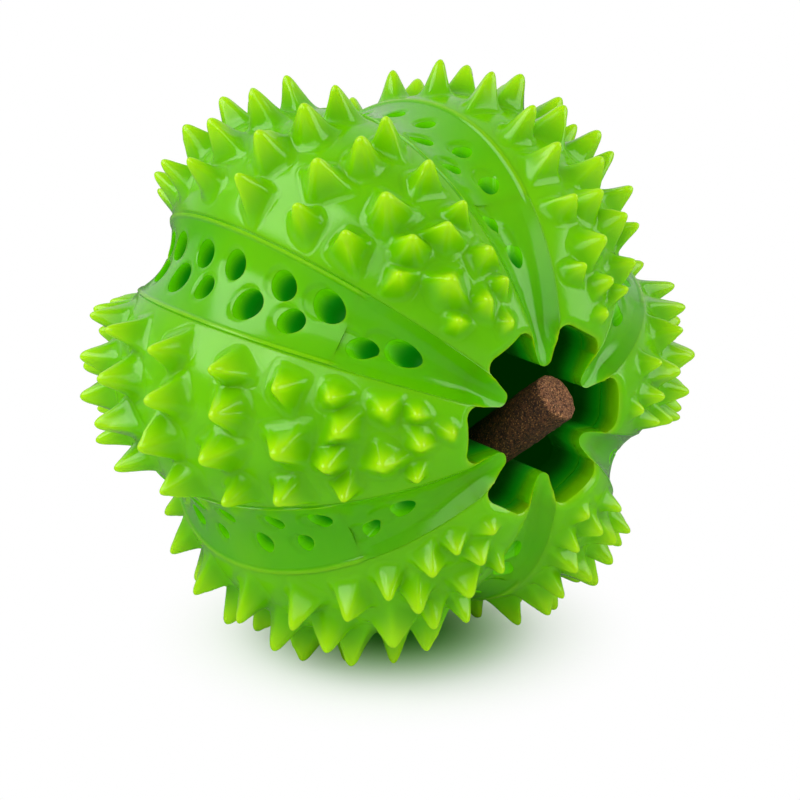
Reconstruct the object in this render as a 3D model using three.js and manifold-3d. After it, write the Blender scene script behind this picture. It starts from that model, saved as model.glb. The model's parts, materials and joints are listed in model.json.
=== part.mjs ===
// Spiked rubber dog ball: a hollow ball with six spiked bands, six channels
// and a toothed mouth, and a treat stick standing in the mouth.
// Millimetres, +Z up. The mouth looks along -Y and the ball rests on four spike tips at z = 0.

import * as THREE from 'three';
import { mergeVertices } from 'three/addons/utils/BufferGeometryUtils.js';
import Module from 'manifold-3d';

// Ball
const LOBES = 6; // spiked bands, and channels between them
const LIP_R = 41.2; // raised edges of the channels, from the ball's centre
const LOBE_RISE = 3.0; // crest of a band above the lips
const BAND_DEPTH = 3.7; // lips down to the seat under a band
const WALL = 5.0; // seat down to the cavity
const GAP = 0.35; // clearance between neighbouring pieces
const SEAM = 49.5; // degrees from the mouth axis to the joint of the two shells
const REAR_DISC = 18; // degrees, half angle of the smooth disc at the rear

// Channels and their blind pockets, angles in degrees from the mouth axis
const CHANNEL_HALF = 10.5; // degrees round the axis from a channel's middle to its lip
const CHANNEL_DEPTH = 2.4; // lips down to the middle line
const RIB_DRAFT = 0.5; // degrees by which a channel's rib is wider at its foot
const POCKET_SIDE = 3.5; // degrees round the axis from the middle to a row of pockets
const POCKET_DEPTH = 4.2; // in the channels with wide pockets
const SHALLOW_DEPTH = 2.4; // in the channels with narrow pockets
const NARROW = 0.7; // narrow pockets against wide ones
const GROUP_FIRST = 55;
const GROUP_PITCH = 26;
const GROUPS = 3;
const POCKET_GROUP = [
  { along: 0, side: -1, radius: 2.2 },
  { along: 6.5, side: 1, radius: 1.9 },
  { along: 11.5, side: -1, radius: 2.1 },
  { along: 18, side: 1, radius: 2.4 },
];
const POCKET_ENDS = [
  { along: 36.8, side: 0, radius: 1.9 },
  { along: 45.2, side: 1, radius: 1.65 },
  { along: 134.5, side: -1, radius: 2.1 },
  { along: 143, side: 0, radius: 1.9 },
];

// Spikes of one band, in rows from the mouth to the equator and mirrored behind it.
// along: degrees from the mouth axis, across: degrees from the band's middle line
const SPIKE_TIP = 0.85; // tip radius
const SPIKE_ROOT = 0.3; // how deep a spike starts below the band's facets
const SPIKE_ROWS = [
  { along: 24.5, across: [-5], foot: 1.9, height: 1.3 },
  { along: 30.5, across: [-12, -1, 12], foot: 2.1, height: 2.3 },
  { along: 37, across: [-12, 4.5], foot: 2.6, height: 3.0 },
  { along: 45.5, across: [-13, -5, 4, 13], foot: 2.5, height: 3.8 },
  { along: 55.5, across: [-12.5, 1, 12.5], foot: 3.1, height: 4.8 },
  { along: 67.5, across: [-13, -5, 4, 13], foot: 3.2, height: 5.4 },
  { along: 82, across: [-13, -4.5, 4.5, 13], foot: 3.2, height: 5.6 },
];
const BAND_COLUMNS = 4; // facets across a band
const FLOOR_FLAT = 0.5; // how much of the lowest tips the floor flattens

// Mouth and teeth
const TOOTH_LENGTH = 5.6; // tip to the wall of the mouth
const TOOTH_DEPTH = 7.5; // along the mouth axis, at the tip
const TOOTH_TOP = 0.6; // top of the teeth above the channel's middle line
const TOOTH_ROOT_HALF = 2.4; // half width at the root
const TOOTH_TIP_HALF = 1.25; // half width at the tip, also the tip's rounding
const KNUCKLE_R = 3.4; // round root that a tooth rocks on
const KNUCKLE_BITE = 1.5; // how far that root sits in the wall of the mouth
const FLARE = 8; // degrees by which the mouth widens where it meets the cavity

// Treat stick
const TREAT_R = 3.5;
const TREAT_PLAY = 5.0; // its side to the tooth tips when it stands straight
const TREAT_LEAN = 46; // degrees from the mouth axis
const TREAT_TURN = 64; // degrees round the mouth axis, from +X towards +Z
const TREAT_SAG = 1.0; // its middle line below the mouth axis, at half tooth depth
const TREAT_PROUD = 1.2; // outer end in front of the tooth tips
const TREAT_REST = 0.6; // inner end to the cavity wall

// Sizes that follow from these
const { degToRad: rad, radToDeg: deg } = THREE.MathUtils;
const rise = (sphere, radius) => Math.sqrt(sphere * sphere - radius * radius);
const SEAT_R = LIP_R - BAND_DEPTH;
const CAVITY_R = SEAT_R - WALL;
const VALLEY_R = LIP_R - CHANNEL_DEPTH;
const PITCH = 360 / LOBES;
const BAND_HALF = PITCH / 2 - CHANNEL_HALF;
const bandAngles = Array.from({ length: LOBES }, (_, i) => i * PITCH);
const channelAngles = bandAngles.map((around) => around + PITCH / 2);
const SEAM_HALF_GAP = deg(GAP / 2 / SEAT_R);
const REAR_EDGE = 180 - REAR_DISC;
const TIP_R = TREAT_R + TREAT_PLAY;
const MOUTH_R = TIP_R + TOOTH_LENGTH;
const TOOTH_R = VALLEY_R + TOOTH_TOP;
const TIP_Z = rise(TOOTH_R, TIP_R);
const TOOTH_BASE_Z = TIP_Z - TOOTH_DEPTH;
const TOOTH_ROOT_Z = rise(TOOTH_R, MOUTH_R);
const HINGE_R = MOUTH_R + KNUCKLE_BITE - KNUCKLE_R;
const HINGE_Z = (TOOTH_ROOT_Z + TOOTH_BASE_Z) / 2;
const FAR = 2 * LIP_R; // reaches past everything
const ROUND = 4 * LOBES; // steps round the mouth axis
const TROUGH = [-1, -0.7, 0, 0.7, 1]; // corners across a channel, as shares of its half width

const RUBBER = { color: 0x70c208, roughness: 0.3, metalness: 0 };
const BROWN_TREAT = { color: 0x5b3a22, roughness: 0.85, metalness: 0 };

// The ball is built with its mouth axis along +Z and turned at the end.
const wasm = await Module();
wasm.setup();

function point(radius, along, around) {
  const ring = radius * Math.sin(rad(along));
  const z = radius * Math.cos(rad(along));
  return new THREE.Vector3(ring * Math.cos(rad(around)), ring * Math.sin(rad(around)), z);
}

function steps(from, to, count) {
  return Array.from({ length: count + 1 }, (_, i) => from + ((to - from) * i) / count);
}

function arc(radius, from, to, count) {
  return steps(from, to, count).map((along) => {
    const p = point(radius, along, 0);
    return new THREE.Vector2(p.x, p.z);
  });
}

function solidOf(geometry) {
  const bare = geometry.clone();
  bare.deleteAttribute('normal');
  bare.deleteAttribute('uv');
  const merged = mergeVertices(bare, 1e-4);
  const corners = merged.index.array;
  const triVerts = [];
  for (let i = 0; i < corners.length; i += 3) {
    const [a, b, c] = corners.slice(i, i + 3);
    if (a !== b && b !== c && c !== a) triVerts.push(a, b, c);
  }
  return new wasm.Manifold(new wasm.Mesh({
    numProp: 3,
    vertProperties: Float32Array.from(merged.attributes.position.array),
    triVerts: Uint32Array.from(triVerts),
  }));
}

function geometryOf(solid) {
  const mesh = solid.getMesh();
  const geometry = new THREE.BufferGeometry();
  geometry.setAttribute('position', new THREE.BufferAttribute(mesh.vertProperties, 3));
  geometry.setIndex(new THREE.BufferAttribute(mesh.triVerts, 1));
  geometry.computeVertexNormals();
  return geometry;
}

function meshOf(name, solid, look) {
  const mesh = new THREE.Mesh(geometryOf(solid), new THREE.MeshStandardMaterial(look));
  mesh.name = name;
  return mesh;
}

// Solid of revolution about the mouth axis
function turned(profile) {
  return solidOf(new THREE.LatheGeometry(profile, ROUND).rotateX(Math.PI / 2));
}

// Solid whose surface runs over rings of points, from one end point to another
function stacked(first, rings, last) {
  const width = rings[0].length;
  const index = [];
  for (let j = 0; j < width; j++) {
    const k = (j + 1) % width;
    index.push(0, 1 + j, 1 + k);
    for (let row = 1; row < 1 + (rings.length - 1) * width; row += width) {
      index.push(row + j, row + width + j, row + width + k);
      index.push(row + j, row + width + k, row + k);
    }
    const end = 1 + (rings.length - 1) * width;
    index.push(end + j, end + width, end + k);
  }
  const geometry = new THREE.BufferGeometry().setFromPoints([first, ...rings.flat(), last]);
  return solidOf(geometry.setIndex(index));
}

// Solid slice of the ball between two surfaces. The radii are functions of the angle
// along the slice and of t, which runs from -1 to 1 across it.
function slice(alongs, columns, halfAt, outer, inner) {
  const positions = [];
  const index = [];
  const width = columns + 1;
  const layer = alongs.length * width;
  for (const radius of [outer, inner]) {
    for (const along of alongs) {
      for (const t of steps(-1, 1, columns)) {
        positions.push(...point(radius(along, t), along, t * halfAt(along)));
      }
    }
  }
  const quad = (a, b, c, d) => index.push(a, b, c, a, c, d);
  const last = alongs.length - 1;
  for (let i = 0; i < last; i++) {
    const row = i * width;
    const next = row + width;
    for (let j = 0; j < columns; j++) {
      quad(row + j, next + j, next + j + 1, row + j + 1);
      quad(layer + row + j, layer + row + j + 1, layer + next + j + 1, layer + next + j);
    }
    quad(row, layer + row, layer + next, next);
    quad(next + columns, layer + next + columns, layer + row + columns, row + columns);
  }
  const end = last * width;
  for (let j = 0; j < columns; j++) {
    quad(j, j + 1, layer + j + 1, layer + j);
    quad(end + j + 1, end + j, layer + end + j, layer + end + j + 1);
  }
  const geometry = new THREE.BufferGeometry();
  geometry.setAttribute('position', new THREE.Float32BufferAttribute(positions, 3));
  geometry.setIndex(index);
  return geometry;
}

// Turns a geometry made along +Y so that it points along a direction from a place
function aim(geometry, direction, place) {
  const turn = new THREE.Quaternion();
  turn.setFromUnitVectors(new THREE.Vector3(0, 1, 0), direction);
  return geometry.applyQuaternion(turn).translate(place.x, place.y, place.z);
}

const mouthBore = turned([
  new THREE.Vector2(0, 0),
  new THREE.Vector2(MOUTH_R, 0),
  new THREE.Vector2(MOUTH_R, FAR),
  new THREE.Vector2(0, FAR),
]);

// Channels: troughs with raised lips, on ribs that stand on the seat surface
function channelRadius(along, t) {
  return VALLEY_R + CHANNEL_DEPTH * t * t;
}

// Ring of the shells' outside: across each channel, then over the seat of the next band
function shellRing(along) {
  const seat = BAND_HALF - RIB_DRAFT;
  return channelAngles.flatMap((middle) => [
    ...TROUGH.map((t) => point(channelRadius(along, t), along, middle + t * CHANNEL_HALF)),
    ...[-seat, 0, seat].map((across) => point(SEAT_R, along, middle + PITCH / 2 + across)),
  ]);
}

// Two rows of blind pockets in a channel, wide and narrow ones by turns
function pockets(channelNumber) {
  const wide = channelNumber % 2 === 0;
  const list = [...POCKET_ENDS];
  for (let group = 0; group < GROUPS; group++) {
    const start = GROUP_FIRST + group * GROUP_PITCH;
    POCKET_GROUP.forEach((p) => list.push({ ...p, along: start + p.along }));
  }
  return list.map(({ along, side, radius }) => {
    const r = wide ? radius : radius * NARROW;
    const surface = channelRadius(along, (side * POCKET_SIDE) / CHANNEL_HALF);
    const floor = surface - (wide ? POCKET_DEPTH : SHALLOW_DEPTH);
    const length = LIP_R + GAP - floor;
    const around = channelNumber * PITCH + PITCH / 2 + side * POCKET_SIDE;
    const hole = new THREE.CylinderGeometry(r, 0.9 * r, length, wide ? 6 : 5);
    const axis = point(1, along, around);
    return solidOf(aim(hole, axis, axis.clone().multiplyScalar(floor + length / 2)));
  });
}

// Tooth in its own frame: hinge at the origin, +X away from the mouth axis, +Z out of the mouth
function toothSolid() {
  const top = TIP_Z - HINGE_Z;
  const base = TOOTH_BASE_Z - HINGE_Z;
  const tip = TIP_R - HINGE_R;
  const rootAngle = Math.asin(Math.min(0.98, -base / KNUCKLE_R));
  const profile = new THREE.Shape();
  profile.moveTo(tip + TOOTH_TIP_HALF / 2, base);
  profile.absarc(0, 0, KNUCKLE_R, -rootAngle, rootAngle);
  profile.lineTo(tip, top);
  profile.lineTo(tip, base + TOOTH_TIP_HALF / 2);
  const side = { depth: 4 * TOOTH_ROOT_HALF, bevelEnabled: false, curveSegments: 7 };
  const body = new THREE.ExtrudeGeometry(profile, side);
  body.rotateX(Math.PI / 2).translate(0, side.depth / 2, 0);

  const plan = new THREE.Shape();
  plan.moveTo(KNUCKLE_R + GAP, -TOOTH_ROOT_HALF);
  plan.lineTo(KNUCKLE_R + GAP, TOOTH_ROOT_HALF);
  plan.lineTo(0, TOOTH_ROOT_HALF);
  plan.absarc(tip + TOOTH_TIP_HALF, 0, TOOTH_TIP_HALF, Math.PI / 2, 1.5 * Math.PI);
  plan.lineTo(0, -TOOTH_ROOT_HALF);
  const up = { depth: 4 * TOOTH_DEPTH, bevelEnabled: false, curveSegments: 3 };
  const outline = new THREE.ExtrudeGeometry(plan, up).translate(0, 0, -up.depth / 2);
  return solidOf(body).intersect(solidOf(outline));
}

// Seat for a tooth's round root, in the ball's frame
function toothSeat(around) {
  const length = 2 * (TOOTH_ROOT_HALF + GAP);
  const seat = new THREE.CylinderGeometry(KNUCKLE_R + GAP, KNUCKLE_R + GAP, length, 18);
  return solidOf(seat.translate(HINGE_R, 0, HINGE_Z).rotateZ(rad(around)));
}

// Hollow of both shells: the cavity, and the mouth that flares out to it
const seatEdge = deg(Math.asin(MOUTH_R / SEAT_R));
const mouthEdge = deg(Math.asin(MOUTH_R / CAVITY_R));
const flareTop = Math.min(HINGE_Z - KNUCKLE_R - GAP, rise(SEAT_R, MOUTH_R) - WALL);
const hollow = turned([
  ...arc(CAVITY_R, 180, mouthEdge + FLARE, 9),
  new THREE.Vector2(MOUTH_R, flareTop),
  new THREE.Vector2(MOUTH_R, FAR),
  new THREE.Vector2(0, FAR),
]);

// Front shell: the thick ring round the mouth, with the front ends of the channels
const centre = new THREE.Vector3();
const frontRings = steps(seatEdge / 2, SEAM - SEAM_HALF_GAP, 4).map(shellRing);
let frontShell = stacked(point(LIP_R, 0, 0), frontRings, centre).subtract(hollow);
channelAngles.forEach((around, i) => {
  frontShell = frontShell.subtract(toothSeat(around));
  pockets(i).forEach((hole) => { frontShell = frontShell.subtract(hole); });
});

// Rear shell: the hollow body, with the rest of the channels and a smooth disc at the back
const rearRings = steps(SEAM + SEAM_HALF_GAP, REAR_EDGE, 7).map(shellRing);
for (const along of [REAR_EDGE + RIB_DRAFT, 180 - REAR_DISC / 2]) {
  rearRings.push(rearRings[0].map((p) => point(LIP_R, along, deg(Math.atan2(p.y, p.x)))));
}
let rearShell = stacked(centre, rearRings, point(LIP_R, 180, 0)).subtract(hollow);
channelAngles.forEach((around, i) => {
  pockets(i).forEach((hole) => { rearShell = rearShell.subtract(hole); });
});

// Spiked band: a convex strip that fills the space between two channels
function bandHalf(along) {
  return BAND_HALF - RIB_DRAFT - deg(GAP / (SEAT_R * Math.sin(rad(along))));
}

function bandRadius(along, t) {
  return LIP_R + LOBE_RISE * Math.sin(rad(along)) * (1 - t * t);
}

function bandPoint(along, across) {
  return point(bandRadius(along, across / bandHalf(along)), along, across);
}

// The band's facets run between the rows of spikes and lie below the true curve by up to facetSag.
const rows = SPIKE_ROWS.map(({ along }) => along);
rows.push(...rows.map((along) => 180 - along).reverse());
const between = rows.slice(1).map((along, i) => (along + rows[i]) / 2);
const bandAlongs = [seatEdge / 2, ...between, REAR_EDGE - deg(GAP / SEAT_R)];
const widest = Math.max(...between.slice(1).map((along, i) => along - between[i]));
const facetShare = Math.cos(rad(widest / 2)) * Math.cos(rad(BAND_HALF / BAND_COLUMNS));
const facetSag = (LIP_R + LOBE_RISE) * (1 - facetShare) + LOBE_RISE / BAND_COLUMNS ** 2;
const bandFloor = () => (SEAT_R + GAP) / facetShare;

function spike(along, across, foot, height) {
  const place = bandPoint(along, across);
  const down = bandPoint(along + 1, across).sub(place);
  const sideways = bandPoint(along, across + 1).sub(place);
  const axis = down.cross(sideways).normalize();
  const flare = (foot - SPIKE_TIP) / height;
  const root = SPIKE_ROOT + facetSag;
  const length = height + root;
  const cone = new THREE.CylinderGeometry(SPIKE_TIP, foot + flare * root, length, 4);
  return solidOf(aim(cone, axis, place.addScaledVector(axis, height - length / 2)));
}

let spikes = null;
for (const { along, across, foot, height } of SPIKE_ROWS) {
  for (const offset of across) {
    for (const place of [along, 180 - along]) {
      const one = spike(place, offset, foot, height);
      spikes = spikes ? spikes.add(one) : one;
    }
  }
}
const insideBand = (along) => bandHalf(along) - deg(GAP / 2 / (SEAT_R * Math.sin(rad(along))));
const spikeRoom = slice(bandAlongs, BAND_COLUMNS, insideBand, () => FAR, () => SEAT_R + 2 * GAP);
const plainBand = solidOf(slice(bandAlongs, BAND_COLUMNS, bandHalf, bandRadius, bandFloor));
const spikedBand = plainBand.add(spikes.intersect(solidOf(spikeRoom))).subtract(mouthBore);

// The floor lies a little above the lowest tips, which it flattens.
const lowest = Math.min(...bandAngles.map((around) => {
  const turnedBand = geometryOf(spikedBand).rotateZ(rad(around));
  turnedBand.computeBoundingBox();
  return turnedBand.boundingBox.min.y;
}));
const floorY = lowest + FLOOR_FLAT;
function aboveFloor(solid, around) {
  const ground = new THREE.BoxGeometry(2 * FAR, FAR, 2 * FAR).translate(0, floorY - FAR / 2, 0);
  return solid.subtract(solidOf(ground.rotateZ(rad(-around))));
}

// Treat stick: leans over the lower teeth, with its inner end on the cavity wall
const lean = point(1, TREAT_LEAN, TREAT_TURN);
const anchor = point(-TREAT_SAG, 90, TREAT_TURN).setZ(TIP_Z - TOOTH_DEPTH / 2);
const middle = anchor.clone().addScaledVector(lean, -anchor.dot(lean));
const reach = (CAVITY_R - TREAT_REST) ** 2 - (middle.length() + TREAT_R) ** 2;
const innerEnd = -Math.sqrt(Math.max(0, reach));
const outerEnd = (TIP_Z + TREAT_PROUD - middle.z) / lean.z;
const treatLength = outerEnd - innerEnd;
const treat = solidOf(new THREE.CylinderGeometry(TREAT_R, TREAT_R, treatLength, 16));

// Assembly
const ball = new THREE.Group();
ball.add(meshOf('front_shell', frontShell, RUBBER));
ball.add(meshOf('rear_shell', rearShell, RUBBER));

bandAngles.forEach((around, i) => {
  const holder = new THREE.Group();
  holder.rotation.z = rad(around);
  holder.add(meshOf(`spiked_band_${i + 1}`, aboveFloor(spikedBand, around), RUBBER));
  ball.add(holder);
});

channelAngles.forEach((around, i) => {
  const hinge = new THREE.Group();
  hinge.position.copy(point(HINGE_R, 90, around)).setZ(HINGE_Z);
  hinge.rotation.z = rad(around);
  hinge.add(meshOf(`mouth_tooth_${i + 1}`, toothSolid(), RUBBER));
  ball.add(hinge);
});

const treatHolder = new THREE.Group();
treatHolder.position.copy(middle).addScaledVector(lean, innerEnd + treatLength / 2);
treatHolder.quaternion.setFromUnitVectors(new THREE.Vector3(0, 1, 0), lean);
treatHolder.add(meshOf('treat_stick', treat, BROWN_TREAT));
ball.add(treatHolder);

// Mouth axis to -Y, floor to z = 0, origin under the middle of the whole part
ball.rotation.x = Math.PI / 2;
ball.position.z = -floorY;
const dogBall = new THREE.Group();
dogBall.add(ball);
dogBall.updateMatrixWorld(true);
const box = new THREE.Box3().setFromObject(dogBall, true);
ball.position.y = -(box.min.y + box.max.y) / 2;

export default dogBall;
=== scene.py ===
# Spiked rubber dog ball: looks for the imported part.
# Metres. The ball is modelled about its own centre, mouth along -Y, and each piece is then
# turned round the mouth axis and moved to its place.
import json
import math

import bpy
import numpy as np
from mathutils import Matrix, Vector


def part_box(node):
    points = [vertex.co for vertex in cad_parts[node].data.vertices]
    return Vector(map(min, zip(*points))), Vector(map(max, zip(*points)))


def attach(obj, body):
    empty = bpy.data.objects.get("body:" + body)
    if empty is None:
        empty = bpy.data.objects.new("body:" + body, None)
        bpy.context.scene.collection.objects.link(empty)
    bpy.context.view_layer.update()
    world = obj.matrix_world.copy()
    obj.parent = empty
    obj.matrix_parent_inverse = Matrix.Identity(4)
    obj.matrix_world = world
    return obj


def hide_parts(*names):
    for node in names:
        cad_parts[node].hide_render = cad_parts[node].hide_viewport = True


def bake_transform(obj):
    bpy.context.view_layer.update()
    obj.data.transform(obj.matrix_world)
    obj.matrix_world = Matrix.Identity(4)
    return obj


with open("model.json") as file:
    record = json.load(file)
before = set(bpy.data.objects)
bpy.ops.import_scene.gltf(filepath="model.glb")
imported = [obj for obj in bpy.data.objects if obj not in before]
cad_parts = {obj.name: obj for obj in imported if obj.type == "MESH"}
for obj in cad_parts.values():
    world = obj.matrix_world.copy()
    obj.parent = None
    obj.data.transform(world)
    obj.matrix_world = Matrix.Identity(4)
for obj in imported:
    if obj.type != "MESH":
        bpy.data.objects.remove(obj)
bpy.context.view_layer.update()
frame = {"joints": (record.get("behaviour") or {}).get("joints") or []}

MM = 0.001
HAIR = 1e-6  # points closer than this are one point

# Ball, with the sizes of the solids. Angles are in degrees.
LIP_R = 41.2 * MM
LOBE_RISE = 3.0 * MM
SEAT_R = 37.5 * MM
CAVITY_R = 32.5 * MM
FRONT_INNER_R = CAVITY_R - 0.6 * MM
REAR_INNER_R = CAVITY_R + 0.8 * MM
CHANNEL_DEPTH = 2.4 * MM
LOBES = 6
PITCH = 360 / LOBES
BAND_EDGE = 19.35  # round the mouth axis, from the middle of a band
CHANNEL_HALF = 10.5
UNDER_BAND = 0.5  # how much of a channel lies under each band beside it
SEAM = 49.5  # from the mouth axis
REAR_EDGE = 162.0
BAND_FIRST, BAND_LAST = 16.0, REAR_EDGE - 0.4

# Mouth
MOUTH_R = 14.1 * MM
FILLET_R = 1.8 * MM
RIM_R = 1.1 * MM
TOOTH_TIP_R = 8.5 * MM
TOOTH_ROUND = 1.35 * MM
TOOTH_KNEE = 12.0 * MM  # how far out the lean flanks of a tooth meet the edges of its channel
TOOTH_LEAN = 20
TOOTH_FIRST, TOOTH_LAST = 12.0, 21.6

low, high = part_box("rear_shell")
CENTRE = Vector((0.0, high.y - LIP_R, (low.z + high.z) / 2))

# Spikes of half a band: degrees from the mouth axis, degrees across the band, foot and height
# in mm. The other half has the same rows, counted from the back.
SPIKE_ROWS = [
    (24.5, [-5], 2.15, 1.8),
    (30.5, [-12, -1, 12], 2.4, 3.0),
    (37, [-12, 4.5], 2.95, 3.8),
    (45.5, [-13, -5, 4, 13], 2.75, 4.4),
    (55.5, [-12.5, 1, 12.5], 3.2, 5.0),
    (67.5, [-13, -5, 4, 13], 3.2, 5.4),
    (82, [-13, -4.5, 4.5, 13], 3.2, 5.6),
]
SIDE_SPIKE = 10  # degrees across the band, past which a spike is slimmer
SPIKE_TIP, SPIKE_FOOT = 0.31, 0.36  # roundness of a tip and of a foot
SPIKE_EDGES = 5.0  # how sharp the edges between the sides are
SPIKE_HOLLOW = 1.34  # above 1, the flanks are hollow

# Pockets of one channel: degrees from the mouth axis, side of the middle line, radius in mm
POCKETS = [(36.8, 0, 1.85), (45.2, 1, 1.65), (134.5, -1, 2.1), (143, 0, 1.85)]
for start in (55, 81, 107):
    POCKETS += [(start, -1, 2.3), (start + 6.5, 1, 2.0),
                (start + 11.5, -1, 2.2), (start + 18, 1, 2.55)]
POCKET_SIDE = 3.5  # degrees from the middle line
WIDE_POCKET, NARROW_POCKET = 5.2 * MM, 3.4 * MM  # depths
NARROW = 0.7  # radius of a narrow pocket, to that of a wide one
POCKET_ROOM = 0.06 * MM
POCKET_RIM, POCKET_RIM_DROP = 0.7 * MM, 0.28 * MM

STICK_R = 3.5 * MM


# Modelling helpers

def clear_selection():
    if bpy.context.object and bpy.context.object.mode != "OBJECT":
        bpy.ops.object.mode_set(mode="OBJECT")
    bpy.ops.object.select_all(action="DESELECT")


def take(piece):
    clear_selection()
    bpy.context.view_layer.objects.active = piece
    piece.select_set(True)


def named(name):
    piece = bpy.context.object
    piece.name = name
    piece.data.name = name
    return piece


def points_of(piece):
    co = np.empty(len(piece.data.vertices) * 3)
    piece.data.vertices.foreach_get("co", co)
    return co.reshape(-1, 3)


def edit_points(piece, chosen):
    """Edit mode with these points selected, and what lies between them."""
    take(piece)
    mesh = piece.data
    mesh.polygons.foreach_set("select", np.zeros(len(mesh.polygons), bool))
    mesh.edges.foreach_set("select", np.zeros(len(mesh.edges), bool))
    mesh.vertices.foreach_set("select", chosen)
    bpy.ops.object.mode_set(mode="EDIT")
    bpy.ops.mesh.select_mode(type="VERT")


def edit_all(piece):
    take(piece)
    bpy.ops.object.mode_set(mode="EDIT")
    bpy.ops.mesh.select_all(action="SELECT")


def done():
    bpy.ops.object.mode_set(mode="OBJECT")


def face_outwards(piece):
    edit_all(piece)
    bpy.ops.mesh.remove_doubles(threshold=HAIR)
    bpy.ops.mesh.select_all(action="SELECT")
    bpy.ops.mesh.normals_make_consistent(inside=False)
    done()


def thin_out(piece, chosen, ratio):
    """Fewer faces where nothing of them shows."""
    edit_points(piece, chosen)
    bpy.ops.mesh.decimate(ratio=ratio)
    done()


def finish_with(piece, kind, **settings):
    """Adds a modifier and applies it."""
    take(piece)
    step = piece.modifiers.new(kind.title(), kind)
    for key, value in settings.items():
        setattr(step, key, value)
    bpy.ops.object.modifier_apply(modifier=step.name)


def lift(piece, heights):
    """Moves each point of the ball's skin away from the ball's centre by its own height,
    or towards it where that is below 0."""
    for sign in (1, -1):
        part = np.maximum(sign * heights, 0)
        top = part.max()
        if top < 1e-9:
            continue
        group = piece.vertex_groups.new(name="height")
        for i in np.nonzero(part > 1e-8)[0]:
            group.add([int(i)], part[i] / top, "REPLACE")
        finish_with(piece, "CAST", cast_type="SPHERE", factor=1.0, size=LIP_R + sign * top,
                    use_radius_as_size=False, vertex_group="height")
        piece.vertex_groups.clear()


def paint(piece, name, values):
    """Keeps a value at each point for the finish: painted light at spike tips, rims and beads, and
    the depth in pockets that their painted glow follows.
    """
    layer = piece.data.attributes.new(name, "FLOAT", "POINT")
    layer.data.foreach_set("value", values.astype(np.float32))


def copy_of(piece, name):
    take(piece)
    bpy.ops.object.duplicate()
    return named(name)


def apply_place(piece):
    take(piece)
    bpy.ops.object.transform_apply(location=True, rotation=True, scale=True)


def stand_along(piece, axis, place):
    """Turns a piece from +Z to an axis and moves it to its place."""
    piece.rotation_mode = "QUATERNION"
    piece.rotation_quaternion = axis.to_track_quat("Z", "Y")
    piece.location = place
    apply_place(piece)


def turn_round(piece, around):
    """Turns a piece from the +X side round the mouth axis."""
    piece.rotation_mode = "XYZ"
    piece.rotation_euler = (0, -math.radians(around), 0)
    apply_place(piece)


def settle(piece, around):
    """Turns a piece round the mouth axis and moves it to the ball's place."""
    turn_round(piece, around)
    piece.location = CENTRE
    apply_place(piece)
    return piece


def joined(pieces, name):
    clear_selection()
    for piece in pieces:
        piece.select_set(True)
    bpy.context.view_layer.objects.active = pieces[0]
    bpy.ops.object.join()
    return named(name)


def remove(piece):
    take(piece)
    bpy.ops.object.delete()


def subtract(piece, cutter):
    finish_with(piece, "BOOLEAN", operation="DIFFERENCE", object=cutter, solver="MANIFOLD")
    remove(cutter)


def cut_off_below_floor(piece):
    size = 0.2
    clear_selection()
    bpy.ops.mesh.primitive_cube_add(size=size, location=(0, 0, -size / 2))
    bpy.ops.object.transform_apply(location=True)
    subtract(piece, named("floor_cutter"))


def angles(co):
    """Degrees from the mouth axis, and degrees round it from +X towards +Z."""
    along = np.degrees(np.arctan2(np.hypot(co[:, 0], co[:, 2]), -co[:, 1]))
    return along, np.degrees(np.arctan2(co[:, 2], co[:, 0]))


def smooth_step(x):
    x = np.clip(x, 0, 1)
    return x * x * (3 - 2 * x)


def round_edge(distance, width, drop):
    """How far a rounded edge of this width drops, at a distance from it."""
    return drop * np.clip(1 - distance / width, 0, 1) ** 2


def meridian_strip(name, first, last, step, spans, *depths):
    """Thick strip of the ball's skin: an arc, spun round the mouth axis and extruded inwards.
    spans gives the width in degrees and the number of steps of each part across."""
    clear_selection()
    bpy.ops.mesh.primitive_circle_add(vertices=round(360 / step), radius=LIP_R)
    strip = named(name)
    co = points_of(strip)
    along, _ = angles(co)
    outside = (co[:, 0] < -HAIR) | (along < first - 1e-3) | (along > last + 1e-3)
    edit_points(strip, outside)
    bpy.ops.mesh.delete(type="VERT")
    bpy.ops.mesh.select_all(action="SELECT")
    for width, count in spans:
        bpy.ops.mesh.spin(steps=count, angle=math.radians(width), center=(0, 0, 0), axis=(0, 1, 0))
    bpy.ops.mesh.select_all(action="SELECT")
    at = LIP_R
    for depth in depths:
        bpy.ops.mesh.extrude_region()
        bpy.ops.transform.resize(value=(depth / at,) * 3, center_override=(0, 0, 0))
        at = depth
    done()
    turn_round(strip, -sum(width for width, _ in spans) / 2)
    face_outwards(strip)
    return strip


def skin_of(piece):
    """Which points lie on the outer skin of a new strip."""
    return np.linalg.norm(points_of(piece), axis=1) > LIP_R - 0.2 * MM


# Mouth

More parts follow.
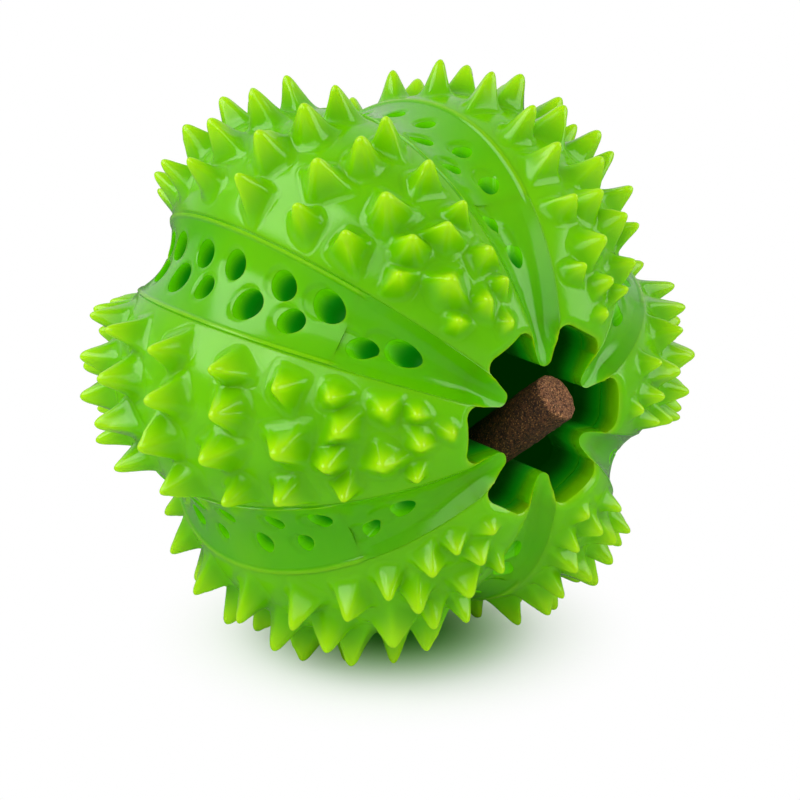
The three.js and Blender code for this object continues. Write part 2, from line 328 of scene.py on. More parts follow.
def mouth_outline():
    """Half a scallop of the mouth seen along its axis, from the tip of a tooth, which points along
    +X, round the tip, along the flank and round the fillet to the middle of a wall."""
    lean, wedge, pitch = (math.radians(angle) for angle in (TOOTH_LEAN, CHANNEL_HALF, PITCH / 2))
    turn = np.linspace(0, math.pi / 2 - lean, 24)
    tip = TOOTH_ROUND * np.stack((-np.cos(turn), np.sin(turn)), 1)
    tip += np.array((TOOTH_TIP_R + TOOTH_ROUND, 0.0))
    knee = TOOTH_KNEE * np.array((1.0, math.tan(wedge)))
    corner = MOUTH_R / math.cos(pitch - wedge)
    fillet = corner - FILLET_R / math.tan((math.pi / 2 - pitch + wedge) / 2)
    start = fillet * np.array((math.cos(wedge), math.sin(wedge)))
    middle = start + FILLET_R * np.array((-math.sin(wedge), math.cos(wedge)))
    turn = np.linspace(wedge - math.pi / 2, pitch, 24)
    bend = middle + FILLET_R * np.stack((np.cos(turn), np.sin(turn)), 1)
    wall = MOUTH_R * np.array((math.cos(pitch), math.sin(pitch)))

    def line(first, last):
        return first + (last - first) * np.linspace(0, 1, 40)[1:, None]

    return np.concatenate((tip, line(tip[-1], knee), line(knee, start), bend[1:],
                           line(bend[-1], wall)))


MOUTH_OUTLINE = mouth_outline()
TOOTH_OUTLINE = MOUTH_OUTLINE[:100]  # up to the fillet, where it still runs outwards


def to_mouth(co, tooth_at):
    """Distance of each point from the edge of the mouth, seen along the mouth axis.
    Below 0 it lies in the opening. Points well away from the mouth have one large distance."""
    near_mouth, well_away = 23 * MM, 9 * MM
    around = np.degrees(np.arctan2(co[:, 2], co[:, 0])) - tooth_at
    around = np.radians(np.abs((around + PITCH / 2) % PITCH - PITCH / 2))
    reach = np.hypot(co[:, 0], co[:, 2])
    seen = np.stack((reach * np.cos(around), reach * np.sin(around)), 1)
    run = np.gradient(MOUTH_OUTLINE, axis=0)
    out = np.stack((run[:, 1], -run[:, 0]), 1)
    result = np.full(len(co), well_away)
    for i in np.nonzero((reach < near_mouth) & (co[:, 1] < 0))[0]:
        gap = seen[i] - MOUTH_OUTLINE
        k = int(np.argmin((gap * gap).sum(1)))
        result[i] = math.hypot(*gap[k]) * (1 if gap[k] @ out[k] >= 0 else -1)
    return result


def rim_drop(distance):
    """How far the rounded rim of the mouth lies below the skin."""
    d = np.minimum(distance / RIM_R, 1)
    return 0.6 * RIM_R * np.where(d < 0, 1 - 2 * d, (1 - d) ** 2)


def painted_rim_light(co, tooth_at):
    """Painted light: a paler line along the rim of the mouth, where the rubber is thin."""
    width, rim, depth, strength = 0.6 * MM, LIP_R - 0.6 * MM, 0.35 * MM, 0.4
    line = np.exp(-(np.maximum(to_mouth(co, tooth_at), 0) / width) ** 2)
    deep = np.maximum(rim - np.linalg.norm(co, axis=1), 0)
    return strength * line * np.exp(-(deep / depth) ** 2)


def mouth_cutter():
    """Star-shaped prism of the mouth opening."""
    length = 60 * MM
    sector = np.concatenate((MOUTH_OUTLINE[:0:-1] * (1, -1), MOUTH_OUTLINE[:-1]))
    ring = []
    for i in range(LOBES):
        a = math.radians(i * PITCH + PITCH / 2)
        ring.append(sector @ np.array(((math.cos(a), math.sin(a)), (-math.sin(a), math.cos(a)))))
    ring = np.concatenate(ring)
    clear_selection()
    bpy.ops.mesh.primitive_circle_add(vertices=len(ring), radius=1, fill_type="NGON")
    star = named("mouth_cutter")
    co = np.stack((ring[:, 0], np.full(len(ring), -length), ring[:, 1]), 1)
    star.data.vertices.foreach_set("co", co.ravel())
    edit_all(star)
    bpy.ops.mesh.extrude_region()
    bpy.ops.transform.translate(value=(0, length, 0))
    done()
    face_outwards(star)
    return star


# Bands

def spike_shape(down, side, seed):
    """Height of one spike, from 0 to 1, at places given in lengths of its foot: a blunt pyramid
    with hollow flanks and a fine groove round its foot. The sines make the number of its sides
    and their directions uneven, in the same way each time."""
    sides = 4 if math.sin(3.1 * seed) < 0.35 else 5
    round_far = np.hypot(down, side)
    flat_far = np.zeros(len(down))
    for k in range(sides):
        turn = seed + 2 * math.pi * k / sides + 0.25 * math.sin(5.7 * seed + 2.3 * k)
        face = 0.89 + 0.08 * math.sin(3.9 * seed + 1.7 * k)
        towards = (down * math.cos(turn) + side * math.sin(turn)) / face
        flat_far += np.maximum(towards, 0) ** SPIKE_EDGES
    flat_far = flat_far ** (1 / SPIKE_EDGES)
    far = round_far + (flat_far - round_far) * smooth_step((round_far - 0.1) / 0.5)
    tip, foot = SPIKE_TIP, SPIKE_FOOT
    slope = np.where(far < tip, 1 - (far * far + tip * tip) / (2 * tip), 1 - far) / (1 - tip / 2)
    slope = np.where(slope < foot, np.maximum(slope + foot, 0) ** 2 / (4 * foot), slope)
    groove_at, groove_width, groove_depth = 1.25, 0.05, 0.014
    groove = groove_depth * np.exp(-((far - groove_at) / groove_width) ** 2)
    return slope ** SPIKE_HOLLOW - groove


def merged(one, other):
    """The stronger of two heights, filled a little where two spikes meet."""
    reach, fill = 0.5 * MM, 0.12 * MM
    near = np.maximum(1 - np.abs(one - other) / reach, 0)
    both = np.clip(np.minimum(one, other) / reach, 0, 1)
    return np.where(np.abs(one) > np.abs(other), one, other) + fill * near ** 2 * both


def spike_heights(along, across):
    """Height of all spikes over the band. Spikes of one row stand a little before and behind it."""
    ball = LIP_R + LOBE_RISE
    total = np.zeros(len(along))
    for row, (place, offsets, foot, height) in enumerate(SPIKE_ROWS):
        for col, offset in enumerate(offsets):
            stagger = (0.5 * len(offsets) - 0.9) * (-1) ** col
            size = (0.98 if abs(offset) > SIDE_SPIKE else 1.14) * foot * MM
            for middle in (place + stagger, 180 - place + stagger):
                down = np.radians(along - middle) * ball
                side = np.radians(across - offset) * np.sin(np.radians(along)) * ball
                spot = np.nonzero(np.hypot(down, side) < 1.6 * size)[0]
                seed = 7.3 * row + 4.1 * col + 0.37 * middle
                one = height * MM * spike_shape(down[spot] / size, side[spot] / size, seed)
                total[spot] = merged(one, total[spot])
    return total


def full_height(along):
    """Height of a whole spike at a place along the band, the same before and behind the middle."""
    places, heights = [row[0] for row in SPIKE_ROWS], [row[3] * MM for row in SPIKE_ROWS]
    return np.interp(np.minimum(along, 180 - along), places, heights)


def band_crown(along, across):
    t = np.clip(np.abs(across) / BAND_EDGE, 0, 1)
    return LOBE_RISE * np.sin(np.radians(along)) * (1 - t * t)


def make_band():
    edge = 0.6
    spans = [(edge, 4), (2 * (BAND_EDGE - edge), 116), (edge, 4)]
    band = meridian_strip("spiked_band", BAND_FIRST, BAND_LAST, 1 / 3, spans, SEAT_R + 0.1 * MM)
    co = points_of(band)
    along, across = angles(co)
    skin = skin_of(band)
    to_rim = np.where(skin, to_mouth(co, PITCH / 2), 1)
    to_back = np.radians(BAND_LAST - along) * LIP_R
    to_side = np.radians(BAND_EDGE - np.abs(across)) * np.sin(np.radians(along)) * LIP_R
    height = band_crown(along, across) - rim_drop(to_rim)
    height -= round_edge(to_back, width=1.2 * MM, drop=0.6 * MM)
    height -= round_edge(to_side, width=0.3 * MM, drop=0.12 * MM)
    clear_of_edges = smooth_step(to_rim / (2.5 * MM)) * smooth_step(to_side / (1.6 * MM))
    height += spike_heights(along, across) * clear_of_edges
    lift(band, np.where(skin, height, 0))
    thin_out(band, ~skin, 0.03)
    subtract(band, mouth_cutter())
    face_outwards(band)
    co = points_of(band)
    along, across = angles(co)
    # Painted light: paler towards the spike tips, where the rubber is thin, and along the mouth
    # rim.
    rise = np.linalg.norm(co, axis=1) - LIP_R - band_crown(along, across)
    tips = np.clip(rise / (1.1 * full_height(along)), 0, 1)
    paint(band, "pale", tips + painted_rim_light(co, PITCH / 2))
    return band


# Channels

# Width in degrees and number of steps of the edge, the middle and the other edge of a channel
EDGE_WIDTH = 3.2
ACROSS = [(EDGE_WIDTH, 18), (2 * (CHANNEL_HALF + UNDER_BAND - EDGE_WIDTH), 26), (EDGE_WIDTH, 18)]


def from_lip(along, across):
    return np.radians(CHANNEL_HALF - np.abs(across)) * np.sin(np.radians(along)) * LIP_R


def bead(along, across):
    """Fine bead along both edges of a channel, from a little before the seam to the back."""
    rise, end, fall = 0.15 * MM, 0.5 * MM, 0.2 * MM
    first, last = SEAM - 3, REAR_EDGE - 6
    width = from_lip(along, across)
    line = smooth_step(width / rise) - smooth_step((width - end) / fall)
    return line * smooth_step((along - first) / 4) * smooth_step((last - along) / 8)


def channel_depth(along, across):
    """Trough of a channel, shallower at the back, with the bead behind the seam and a faint dip
    along the edges before it. What lies under the bands is a little sunk."""
    bead_height, dip_depth, sunk_depth = 0.28 * MM, 0.25 * MM, 0.2 * MM
    dip_first, dip_last, sunk_width = 1.3 * MM, 2.2 * MM, 0.35 * MM
    t = np.abs(across) / CHANNEL_HALF
    back = 12  # degrees over which the trough gets shallow
    shallow = 1 - 0.6 * smooth_step((along - REAR_EDGE + back) / back)
    trough = -CHANNEL_DEPTH * (1 - t * t) * shallow
    width = from_lip(along, across)
    dip = np.minimum(width / dip_first, np.clip(1 - (width - dip_first) / dip_last, 0, 1))
    fine = bead_height * bead(along, across)
    fine -= dip_depth * np.maximum(dip, 0) * smooth_step((SEAM - 1 - along) / 4)
    under = np.clip(-width / sunk_width, 0, 1)
    return np.where(width > 0, trough + fine, -sunk_depth * under)


def before_seam(along):
    return along < SEAM


def behind_seam(along):
    return along > SEAM


def pockets_of(wide, keep):
    """Place, direction and radius of each pocket. They are drawn straight out, across the
    mouth axis."""
    for along, side, radius in POCKETS:
        if keep(along):
            t = side * POCKET_SIDE / CHANNEL_HALF
            surface = LIP_R - CHANNEL_DEPTH * (1 - t * t)
            a, b = math.radians(along), math.radians(side * POCKET_SIDE)
            axis = Vector((math.cos(b), 0, math.sin(b)))
            place = surface * (math.sin(a) * axis - math.cos(a) * Vector((0, 1, 0)))
            yield place, axis, radius * MM * (1 if wide else NARROW)


def pocket_rims(co, wide, keep):
    """How far the skin of a channel drops towards the rounded rims of its pockets."""
    drop = np.zeros(len(co))
    for place, axis, radius in pockets_of(wide, keep):
        off = co - np.array(place)
        beside = np.linalg.norm(np.cross(off, np.array(axis)), axis=1) - radius
        drop = np.maximum(drop, round_edge(beside, POCKET_RIM, POCKET_RIM_DROP))
    return drop


def pocket_cutter(wide, keep, slack=0.0):
    """All pockets of one channel as one cutter, each with a rounded bottom."""
    cutters = []
    for place, axis, radius in pockets_of(wide, keep):
        r = radius + slack
        depth = (WIDE_POCKET if wide else NARROW_POCKET) + 2 * slack
        clear_selection()
        bpy.ops.mesh.primitive_cylinder_add(vertices=28, radius=r, depth=depth)
        cutter = named("pocket_cutter")
        edit_points(cutter, points_of(cutter)[:, 2] > 0)
        bpy.ops.transform.translate(value=(0, 0, 4 * MM))
        done()
        edit_points(cutter, points_of(cutter)[:, 2] < -depth / 2 + HAIR)
        bpy.ops.mesh.bevel(offset=0.8 * r, segments=6)
        done()
        stand_along(cutter, axis, place - axis * (depth / 2 - slack))
        cutters.append(cutter)
    cutter = joined(cutters, "pocket_cutters")
    face_outwards(cutter)
    return cutter


def sink_pockets(body, keep):
    """Room in a shell body for the pockets of all six channels."""
    cutters = []
    for wide in (True, False):
        one = pocket_cutter(wide, keep, POCKET_ROOM)
        for i in range(0 if wide else 1, LOBES, 2):
            turned = copy_of(one, "pocket_cutter")
            turn_round(turned, i * PITCH + PITCH / 2)
            cutters.append(turned)
        remove(one)
    subtract(body, joined(cutters, "pocket_cutters"))
    face_outwards(body)


def make_channel(name, first, last, inner_r, wide, keep):
    channel = meridian_strip(name, first, last, 0.4, ACROSS, inner_r)
    skin = skin_of(channel)
    co = points_of(channel)
    height = channel_depth(*angles(co)) - pocket_rims(co, wide, keep)
    lift(channel, np.where(skin, height, 0))
    thin_out(channel, ~skin, 0.05)
    subtract(channel, pocket_cutter(wide, keep))
    face_outwards(channel)
    co = points_of(channel)
    radius = np.linalg.norm(co, axis=1)
    # Painted highlight along the beads at the channel's edges.
    bead_highlight, near_skin = 0.32, radius > LIP_R - 1 * MM
    paint(channel, "pale", bead_highlight * bead(*angles(co)) * near_skin)
    # How deep each point lies in a pocket, for the pocket's painted glow, which fades from the rim.
    below_rim = LIP_R + channel_depth(*angles(co)) - POCKET_RIM_DROP - radius
    inside = pocket_rims(co, wide, keep) > 0.97 * POCKET_RIM_DROP
    paint(channel, "sunk", inside * np.clip(below_rim / (0.3 * MM) - 0.3, 0, 1))
    return channel


def make_tooth():
    """Front end of a channel, which narrows to a blunt tooth over the mouth."""
    edge_r = LIP_R - 1 * MM
    tooth = meridian_strip("tooth", TOOTH_FIRST, TOOTH_LAST, 0.2, ACROSS, edge_r, FRONT_INNER_R)
    co = points_of(tooth)
    layer = np.linalg.norm(co, axis=1)
    along, across = angles(co)
    turn = np.radians(across)

    # Distance from the mouth axis, with closer steps at the tip, and half the width there
    root = LIP_R * math.sin(math.radians(TOOTH_LAST))
    tip = TOOTH_OUTLINE[0, 0] + 1e-5 * MM
    k = (along - TOOTH_FIRST) / (TOOTH_LAST - TOOTH_FIRST)
    bend = 0.45
    share = np.where(k < bend, k * k, bend * bend + 2 * bend * (k - bend))
    x = tip + (root - tip) * share / (2 * bend - bend * bend)
    flank = np.interp(x, TOOTH_OUTLINE[:, 0], TOOTH_OUTLINE[:, 1])
    full = x * math.tan(math.radians(CHANNEL_HALF + UNDER_BAND))
    half = flank + (full - flank) * smooth_step((x - TOOTH_KNEE - 0.2 * MM) / (1.0 * MM))
    z = half * across / (CHANNEL_HALF + UNDER_BAND)

    # The root is round, as the front edge of the channel behind it is
    at_root = k > 0.999
    to_root = smooth_step((k - 0.6) / 0.4)
    x = np.where(at_root, root * np.cos(turn), x - to_root * root * (1 - np.cos(turn)))
    z = np.where(at_root, root * np.sin(turn), z)

    # The skin, the lower edge of its rounded rim, and the foot on the inside of the shell
    tip_run, tip_drop, rim_height = 9, 1.3 * MM, 0.9 * MM
    out = np.degrees(np.arcsin(np.clip(np.hypot(x, z) / LIP_R, 0, 1)))
    to_tip = smooth_step((TOOTH_LAST - out) / tip_run)
    trough = channel_depth(out, np.degrees(np.arctan2(z, x)))
    height = trough * (1 - 0.8 * to_tip) - tip_drop * to_tip
    height -= rim_drop(np.maximum(to_mouth(np.stack((x, 0 * x, z), 1), 0), 0))
    top = np.stack((x, -np.sqrt(LIP_R ** 2 - x * x - z * z), z), 1)
    top *= ((LIP_R + height) / LIP_R)[:, None]
    wall = top + np.array((0, rim_height, 0))
    foot = top.copy()
    foot[:, 1] = -np.sqrt(FRONT_INNER_R ** 2 - top[:, 0] ** 2 - top[:, 2] ** 2)
    place = np.where((layer > LIP_R - 2 * MM)[:, None], wall, foot)
    place = np.where((layer > LIP_R - 0.2 * MM)[:, None], top, place)
    tooth.data.vertices.foreach_set("co", place.ravel())
    tooth.data.update()
    face_outwards(tooth)
    # Painted light along the rim of the mouth.
    paint(tooth, "pale", painted_rim_light(points_of(tooth), 0))
    return tooth


# Shell bodies

def spun_body(name, profile):
    """Body of revolution about the mouth axis: a closed outline of radii and places along +Y."""
    clear_selection()
    bpy.ops.mesh.primitive_circle_add(vertices=len(profile), radius=LIP_R)
    body = named(name)
    outline = np.array([(r, y, 0.0) for r, y in profile])
    body.data.vertices.foreach_set("co", outline.ravel())
    edit_all(body)
    bpy.ops.mesh.spin(steps=96, angle=2 * math.pi, center=(0, 0, 0), axis=(0, -1, 0))
    bpy.ops.mesh.select_all(action="SELECT")
    bpy.ops.mesh.remove_doubles(threshold=HAIR)
    bpy.ops.mesh.select_all(action="SELECT")
    bpy.ops.mesh.delete_loose(use_verts=True, use_edges=True, use_faces=False)
    done()
    face_outwards(body)
    return body


def arc(radius, first, last, count):
    """Points on half an outline of the ball, from one angle to another from the mouth axis."""
    turn = [math.radians(first + (last - first) * i / count) for i in range(count + 1)]
    return [(radius * math.sin(a), -radius * math.cos(a)) for a in turn]


def make_rear_body():
    """Wall behind the seam, with the disc at the back and a groove round it."""
    shoulder_r, groove_r = LIP_R - 0.25 * MM, LIP_R - 1.1 * MM
    outline = arc(CAVITY_R, SEAM, 180, 24)
    outline += arc(LIP_R, 180, REAR_EDGE + 2.2, 10)
    outline += arc(shoulder_r, REAR_EDGE + 1.6, REAR_EDGE + 1.4, 1)
    outline += arc(groove_r, REAR_EDGE + 1.2, REAR_EDGE - 0.6, 2)
    outline += arc(SEAT_R, REAR_EDGE - 0.8, SEAM, 24)
    body = spun_body("rear_body", [(max(r, 0.0), y) for r, y in outline])
    sink_pockets(body, behind_seam)
    return body


def make_front_body():
    """Wall before the seam, with the star-shaped mouth and room for the teeth."""
    edge_r, seam, inner_first, room_r = MOUTH_R - 2 * MM, SEAM - 0.3, 34, 13 * MM
    outline = arc(SEAT_R - 0.05 * MM, seam, math.degrees(math.asin(edge_r / SEAT_R)), 10)
    inner = arc(CAVITY_R, inner_first, seam, 6)
    outline += [(edge_r, inner[0][1] - 2.5 * MM)] + inner
    ring = spun_body("front_body", outline)
    subtract(ring, mouth_cutter())
    clear_selection()
    bpy.ops.mesh.primitive_cylinder_add(vertices=72, radius=room_r, depth=0.2)
    room = named("tooth_room")
    room.rotation_euler = (math.pi / 2, 0, 0)
    bpy.ops.object.transform_apply(rotation=True)
    subtract(ring, room)
    sink_pockets(ring, before_seam)
    return ring


# Treat stick

def make_treat():
    """Rough stick along the axis of its slide, with its axis, middle and length."""
    lo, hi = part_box("treat_stick")
    slide = next(j for j in frame["joints"] if j["name"] == "treat_slide")
    axis = Vector(slide["axis"]).normalized()
    length = ((hi - lo).x - 2 * STICK_R * math.sqrt(1 - axis.x ** 2)) / abs(axis.x)
    lost_in_smoothing = 0.24 * MM
    clear_selection()
    bpy.ops.mesh.primitive_cylinder_add(vertices=48, radius=STICK_R + lost_in_smoothing,
                                        depth=length)
    stick = named("treat_stick_dressed")
    edit_points(stick, np.ones(len(stick.data.vertices), bool))
    bpy.ops.mesh.bevel(offset=0.5 * MM, segments=3, affect="EDGES")
    done()
    finish_with(stick, "REMESH", mode="VOXEL", voxel_size=0.3 * MM)
    finish_with(stick, "SMOOTH", factor=0.5, iterations=4)
    for size, strength in ((2.4, 0.35), (0.7, 0.3)):
        grain = bpy.data.textures.new("treat grain", "CLOUDS")
        grain.noise_scale = size * MM
        grain.noise_depth = 2
        finish_with(stick, "DISPLACE", texture=grain, texture_coords="LOCAL",
                    strength=strength * MM, mid_level=0.5)
    stand_along(stick, axis, (lo + hi) / 2)
    return stick, axis, (lo + hi) / 2, length


# Finishes

class Shade:
    """A socket of a finish. Sums on it add Math nodes."""

    def __init__(self, finish, socket):
        self.finish = finish
        self.socket = socket

    def sum(self, operation, first, second):
        return self.finish.node("ShaderNodeMath", {"operation": operation}, {0: first, 1: second})

    def __add__(self, other):
        return self.sum("ADD", self, other)

    __radd__ = __add__

    def __sub__(self, other):
        return self.sum("SUBTRACT", self, other)

    def __rsub__(self, other):
        return self.sum("SUBTRACT", other, self)

    def __mul__(self, other):
        return self.sum("MULTIPLY", self, other)

    __rmul__ = __mul__


class Nodes:
    """The nodes of a material or of the world."""

    def __init__(self, tree):
        self.tree = tree

    def node(self, kind, settings=None, sockets=None, out=0):
        made = self.tree.nodes.new(kind)
        for key, value in (settings or {}).items():
            setattr(made, key, value)
        for key, value in (sockets or {}).items():
            self.feed(made.inputs[key], value)
        return Shade(self, made.outputs[out])

    def feed(self, socket, value):
        if isinstance(value, Shade):
            self.tree.links.new(value.socket, socket)
        else:
            socket.default_value = value

    def vector(self, operation, first, second=None, out=0):
        sockets = {0: first} if second is None else {0: first, 1: second}
        return self.node("ShaderNodeVectorMath", {"operation": operation}, sockets, out)

    def mix(self, factor, first, second):
        return self.node("ShaderNodeMix", {"data_type": "RGBA"},
                         {"Factor": factor, 6: first, 7: second}, out=2)

    def steps(self, value, start, end):
        """0 before start, 1 after end, smooth between."""
        return self.node("ShaderNodeMapRange", {"interpolation_type": "SMOOTHSTEP"},
                         {"Value": value, "From Min": start, "From Max": end})

    def noise(self, place, scale, detail=2.0, roughness=0.5):
        return self.node("ShaderNodeTexNoise", {}, {"Vector": place, "Scale": scale,
                                                    "Detail": detail, "Roughness": roughness})

    def painted(self, name):
        return self.node("ShaderNodeAttribute", {"attribute_name": name}, out="Fac")

    def ray(self, kind):
        return self.node("ShaderNodeLightPath", out=kind)


class Finish(Nodes):
    """A material with one Principled shader."""

    def __init__(self, name):
        self.material = bpy.data.materials.new(name)
        self.material.use_nodes = True
        super().__init__(self.material.node_tree)
        self.shader = next(n for n in self.tree.nodes if n.type == "BSDF_PRINCIPLED")

    def set(self, **sockets):
        for key, value in sockets.items():
            self.feed(self.shader.inputs[key.replace("_", " ")], value)

    def bump(self, height, strength, distance):
        self.set(Normal=self.node("ShaderNodeBump", {}, {
            "Strength": strength, "Distance": distance, "Height": height}))

    def place(self):
        return self.node("ShaderNodeTexCoord", out="Object")


def rgb(red, green, blue):
    """Linear colour of an 8-bit one."""
    def one(v):
        v /= 255
        return v / 12.92 if v <= 0.04045 else ((v + 0.055) / 1.055) ** 2.4
    return (one(red), one(green), one(blue), 1.0)


BLACK, WHITE = rgb(0, 0, 0), rgb(255, 255, 255)
GREEN = rgb(101, 187, 1)
LIGHT_GREEN = rgb(112, 195, 2)
SHELL_GREEN = rgb(84, 178, 1)
HOLLOW_SHADE_GREEN = rgb(2, 132, 0)
DEEP_SHADE_GREEN = rgb(0, 82, 0)
PAINTED_LIGHT_GREEN = rgb(166, 220, 5)

# Light that comes through the rubber, in the hollow and in the pockets
HOLLOW_GLOW, DEEP_GLOW = rgb(0, 72, 0), rgb(0, 30, 0)
POCKET_GLOW, POCKET_END_GLOW = rgb(54, 120, 0), rgb(0, 82, 0)


def rubber(name, spiked):
    """Glossy green rubber: painted light makes it paler at spike tips, rims and beads, painted
    shade makes it darker towards the hollow, where it is also duller, and a painted glow lights the
    hollow and the pockets.
    """
    f = Finish(name)
    place = f.place()
    radius = f.vector("LENGTH", f.vector("SUBTRACT", place, CENTRE), out="Value")
    cloud = f.steps(f.noise(place, scale=45.0), 0.35, 0.7)
    colour = f.mix(cloud, GREEN, LIGHT_GREEN) if spiked else f.mix(cloud, SHELL_GREEN, GREEN)
    # Painted light at spike tips, rims and beads.
    colour = f.mix(f.steps(f.painted("pale"), 0.04, 0.92), colour, PAINTED_LIGHT_GREEN)
    # Painted shade: darker towards the hollow, and darker still deeper in.
    start, end = (39.8 * MM, 37.4 * MM) if spiked else (38.6 * MM, 36.4 * MM)
    hollow = f.steps(radius, start, end)
    deep = f.steps(radius, 37.4 * MM, 33.5 * MM)
    colour = f.mix(deep, f.mix(hollow, colour, HOLLOW_SHADE_GREEN), DEEP_SHADE_GREEN)
    # Painted glow in the hollow, and in the pockets, brightest at their rims.
    glow = f.mix(deep, f.mix(hollow, BLACK, HOLLOW_GLOW), DEEP_GLOW)
    sunk = f.painted("sunk")
    in_pocket = f.mix(f.steps(sunk, 0.05, 0.8), POCKET_GLOW, POCKET_END_GLOW)
    glow = f.mix(f.steps(sunk, 0.0, 0.06), glow, in_pocket)
    gloss = f.noise(place, scale=60.0, detail=3.0)
    f.set(Base_Color=colour, Roughness=0.1 + 0.09 * gloss + 0.5 * hollow)
    waves, grain = f.noise(place, scale=120.0), f.noise(place, scale=3600.0)
    f.bump(waves + 0.35 * grain, strength=0.28, distance=0.1 * MM)
    f.set(Emission_Color=glow, Emission_Strength=1.0)
    f.set(Subsurface_Weight=0.35, Subsurface_Radius=(0.6, 1.0, 0.12), Subsurface_Scale=4 * MM)
    f.set(IOR=1.55, Specular_Tint=(0.92, 1.0, 0.8, 1.0))
    return f.material


def dry_treat(axis, centre, length):
    """Dry, crumbly brown treat with pale specks, lighter on its broken outer end."""
    f = Finish("dry_treat")
    place = f.place()
    along = f.vector("DOT_PRODUCT", f.vector("SUBTRACT", place, centre), axis, out="Value")
    crumb = f.noise(place, scale=2600.0, detail=4.0, roughness=0.7)
    blotch = f.noise(place, scale=420.0, detail=4.0, roughness=0.6)
    speck = f.noise(place, scale=4200.0)
    colour = f.mix(f.steps(crumb, 0.36, 0.66), rgb(24, 11, 6), rgb(98, 58, 30))
    colour = f.mix(0.55 * f.steps(blotch, 0.42, 0.7), colour, rgb(40, 20, 10))
    colour = f.mix(0.85 * f.steps(speck, 0.58, 0.68), colour, rgb(164, 112, 62))
    broken = f.mix(f.steps(crumb, 0.38, 0.6), rgb(44, 22, 12), rgb(146, 94, 62))
    broken = f.mix(0.9 * f.steps(speck, 0.57, 0.67), broken, rgb(214, 156, 100))
    outer_end = f.steps(along, length / 2 - 0.9 * MM, length / 2 - 0.3 * MM)
    f.set(Base_Color=f.mix(outer_end, colour, broken), Roughness=0.66 + 0.25 * speck, IOR=1.45)
    f.bump(crumb + 0.4 * speck, strength=0.9, distance=0.3 * MM)
    return f.material


# Pieces

band_rubber = rubber("spike_rubber", spiked=True)
shell_rubber = rubber("shell_rubber", spiked=False)


def dress(piece, material, smooth_angle=None):
    take(piece)
    piece.data.materials.clear()
    piece.data.materials.append(material)
    if smooth_angle:
        bpy.ops.object.shade_smooth_by_angle(angle=math.radians(smooth_angle))
    else:
        bpy.ops.object.shade_smooth()


band = make_band()
dress(band, band_rubber, smooth_angle=50)
for i in range(LOBES):
    piece = settle(copy_of(band, f"band_{i + 1}"), i * PITCH)
    if points_of(piece)[:, 2].min() < 0:
        cut_off_below_floor(piece)
        dress(piece, band_rubber, smooth_angle=50)
    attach(piece, "ball")
    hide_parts(f"spiked_band_{i + 1}")
remove(band)

tooth = make_tooth()
dress(tooth, shell_rubber, smooth_angle=50)
for wide in (True, False):
    joint = SEAM + 0.1
    rear = make_channel("channel", joint, REAR_EDGE + 0.2, REAR_INNER_R, wide, behind_seam)
    front = make_channel("front_channel", TOOTH_LAST, joint, FRONT_INNER_R, wide, before_seam)
    for piece in (rear, front):
        dress(piece, shell_rubber, smooth_angle=40)
    for i in range(0 if wide else 1, LOBES, 2):
        around = i * PITCH + PITCH / 2
        piece = settle(copy_of(rear, f"channel_{i + 1}"), around)
        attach(piece, "ball")
        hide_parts("rear_shell")
        piece = settle(copy_of(front, f"channel_end_{i + 1}"), around)
        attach(piece, "ball")
        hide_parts("front_shell")
        piece = settle(copy_of(tooth, f"tooth_{i + 1}"), around)
        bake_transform(piece)
        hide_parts(f"mouth_tooth_{i + 1}")
    for piece in (rear, front):
        remove(piece)
remove(tooth)

for piece, node in ((make_rear_body(), "rear_shell"), (make_front_body(), "front_shell")):
    dress(piece, shell_rubber, smooth_angle=30)
    settle(piece, 0)
    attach(piece, "ball")
    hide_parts(node)

stick, axis, middle, length = make_treat()
dress(stick, dry_treat(axis, middle, length))
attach(stick, "treat")
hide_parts("treat_stick")


# Studio

CAMERA_TURN = -35.5  # degrees round the ball from -Y, towards -X
CAMERA_RISE = 16.25
CAMERA_AWAY = 346.8 * MM
SHADE_GREEN, NEAR_WHITE, GREY = (0.09, 0.4, 0.05, 1), (0.86, 0.94, 0.8, 1), (0.2, 0.2, 0.2, 1)
SHADE_TINT = (0.35, 0.8, 0.15, 1)


def make_floor():
    """White to the camera, with the ball's own rendered shadow, and a painted dark green shadow and
    painted green light round its contact.
    """
    clear_selection()
    bpy.ops.mesh.primitive_plane_add(size=6)
    floor = named("floor")
    f = Finish("pale_floor")
    away = f.vector("LENGTH", f.place(), out="Value")
    # Painted shadow: dark green floor colour round the ball's contact.
    colour = f.mix(f.steps(away, 0.004, 0.034), SHADE_GREEN, NEAR_WHITE)
    colour = f.mix(f.ray("Is Glossy Ray"), colour, GREY)
    f.set(Base_Color=colour, Roughness=0.9, Specular_IOR_Level=0.0)
    # Painted green light in the shadow, seen by the camera.
    tint = f.mix(f.steps(away, 0.004, 0.026), SHADE_TINT, WHITE)
    white = f.node("ShaderNodeEmission", {}, {"Color": tint})
    shown = f.ray("Is Camera Ray") * f.steps(away, 0.003, 0.042)
    lit = Shade(f, f.shader.outputs[0])
    end = next(n for n in f.tree.nodes if n.type == "OUTPUT_MATERIAL")
    f.feed(end.inputs["Surface"], f.node("ShaderNodeMixShader", {}, {0: shown, 1: lit, 2: white}))
    floor.data.materials.append(f.material)


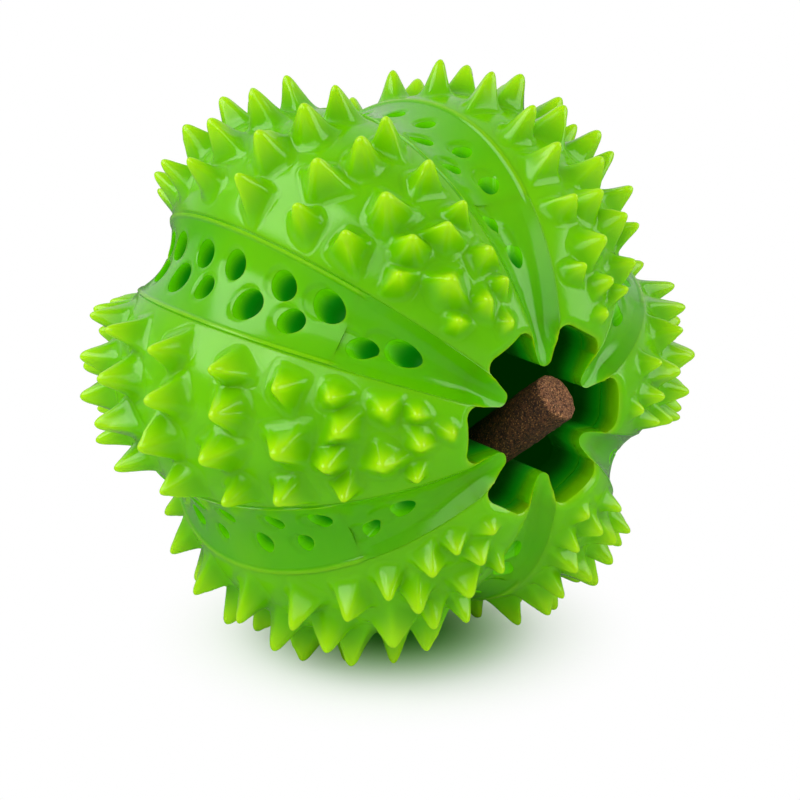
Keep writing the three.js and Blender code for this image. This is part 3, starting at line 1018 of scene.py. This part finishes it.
def seen_from(turn, rise, away):
    """Place round the ball's centre, turned to the right of the camera and raised by degrees."""
    turn, rise = math.radians(CAMERA_TURN + turn), math.radians(rise)
    level = Vector((math.sin(turn), -math.cos(turn), 0)) * math.cos(rise)
    return CENTRE + away * (level + Vector((0, 0, math.sin(rise))))


def put(name, data, place):
    """Puts a lamp or the camera at its place, turned to the ball."""
    holder = bpy.data.objects.new(name, data)
    bpy.context.scene.collection.objects.link(holder)
    holder.location = place
    holder.rotation_euler = (CENTRE - place).to_track_quat("-Z", "Y").to_euler()
    return holder


def make_lamp(name, place, size, power):
    lamp = bpy.data.lights.new(name, "AREA")
    lamp.size = size
    lamp.energy = power
    return put(name, lamp, place)


def make_world():
    """White to the camera, and a dim room, brighter behind the ball, to the ball itself."""
    world = bpy.data.worlds.new("studio")
    bpy.context.scene.world = world
    world.use_nodes = True
    studio = Nodes(world.node_tree)
    sky = world.node_tree.nodes["Background"]
    look = studio.node("ShaderNodeTexCoord", out="Generated")
    towards = studio.vector("DOT_PRODUCT", look, CENTRE - seen_from(0, 0, 1), out="Value")
    room = 0.36 - 0.28 * studio.ray("Is Glossy Ray") + 0.5 * studio.steps(towards, 0.2, 0.9)
    shown = studio.ray("Is Camera Ray")
    studio.feed(sky.inputs["Strength"], room * (1 - shown) + shown)
    sky.inputs["Color"].default_value = WHITE


make_floor()
make_world()
fill = make_lamp("front_fill", seen_from(-10, 50, 0.7), size=0.5, power=1.0)
fill.visible_glossy = False
make_lamp("left_softbox", seen_from(-80, 40, 0.6), size=0.5, power=1.95)
make_lamp("right_softbox", seen_from(80, 28, 0.6), size=0.5, power=1.55)
make_lamp("front_softbox", seen_from(-30, 38, 0.6), size=0.4, power=0.6)

camera = bpy.data.cameras.new("camera")
camera.lens = 98
camera.shift_x, camera.shift_y = 0.0129, -0.0508
camera.clip_start, camera.clip_end = 0.01, 50
bpy.context.scene.camera = put("camera", camera, seen_from(0, CAMERA_RISE, CAMERA_AWAY))
bpy.context.scene.view_settings.view_transform = "Standard"
